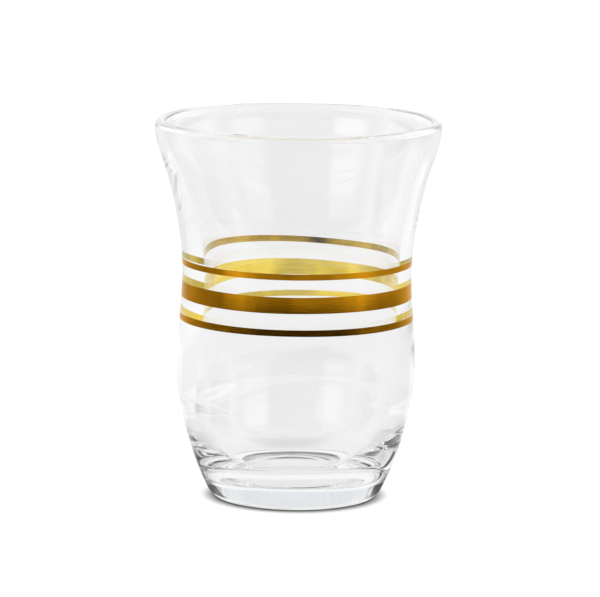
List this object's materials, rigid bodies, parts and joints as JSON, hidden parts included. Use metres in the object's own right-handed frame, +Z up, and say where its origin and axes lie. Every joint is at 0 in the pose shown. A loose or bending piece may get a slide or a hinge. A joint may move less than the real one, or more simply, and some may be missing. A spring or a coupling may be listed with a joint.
{
  "type": "tea glass",
  "caption": "Small clear tea glass with a swelling body, waist, flared mouth, thick base and fired gold lines round the waist.",
  "frame": {"origin": "centre of the foot ring, on the surface that the glass stands on", "axes": "+Z up the middle of the glass, from the foot to the mouth"},
  "size_m": [0.066, 0.066, 0.088],
  "materials": {
    "clear_glass": "fire polished, clear and glossy",
    "fired_gold": "thin fired gold film, bright with faint brush streaks"
  },
  "bodies": {
    "root": {"glass_body": "clear_glass", "upper_gold_line": "fired_gold", "middle_gold_band": "fired_gold", "lower_gold_line": "fired_gold"}
  },
  "joints": []
}
